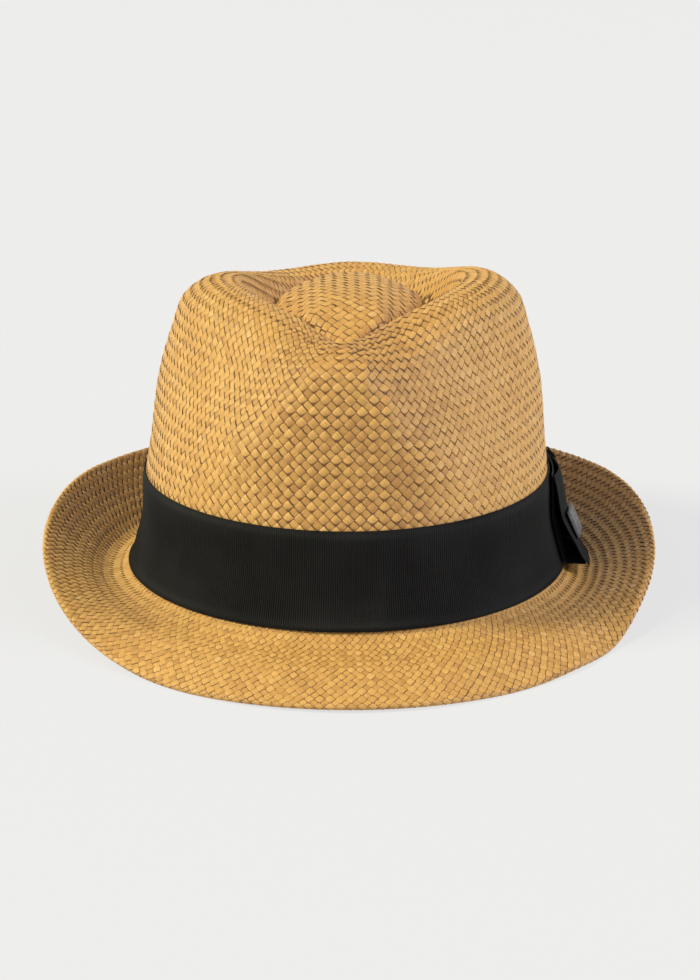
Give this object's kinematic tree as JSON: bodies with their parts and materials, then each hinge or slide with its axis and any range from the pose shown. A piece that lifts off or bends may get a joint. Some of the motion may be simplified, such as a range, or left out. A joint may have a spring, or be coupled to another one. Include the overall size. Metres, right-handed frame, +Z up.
{
  "type": "fedora hat",
  "caption": "Woven straw fedora with a teardrop crown, short upturned brim, black grosgrain band, side bow with a blank metal plate, and a cloth sweatband.",
  "frame": {"origin": "on the table under the middle of the hat's length and width", "axes": "+Z up from the table, -Y to the front of the hat, +X to the wearer's left, where the bow is"},
  "size_m": [0.2522, 0.3002, 0.1285],
  "materials": {
    "straw": "plain weave of flat straw strips, satin",
    "grosgrain": "fine vertical ribs, matte",
    "sweatband_cotton": "cotton twill",
    "join_tape": "cotton tape",
    "tab_cloth": "woven tab, blank",
    "thread": "sewing thread",
    "reed": "extruded reed",
    "brim_wire": "drawn wire",
    "nickel": "satin nickel plate, blank"
  },
  "bodies": {
    "root": {"straw_body": "straw", "brim_wire": "brim_wire", "hatband_ribbon": "grosgrain", "bow_under_layer": "grosgrain", "bow_wings": "grosgrain", "bow_keeper": "grosgrain", "badge_plate": "nickel", "sweatband": "sweatband_cotton", "sweatband_reed": "reed", "sweatband_thread": "thread", "sweatband_join_tape": "join_tape", "size_tab": "tab_cloth"}
  },
  "joints": []
}
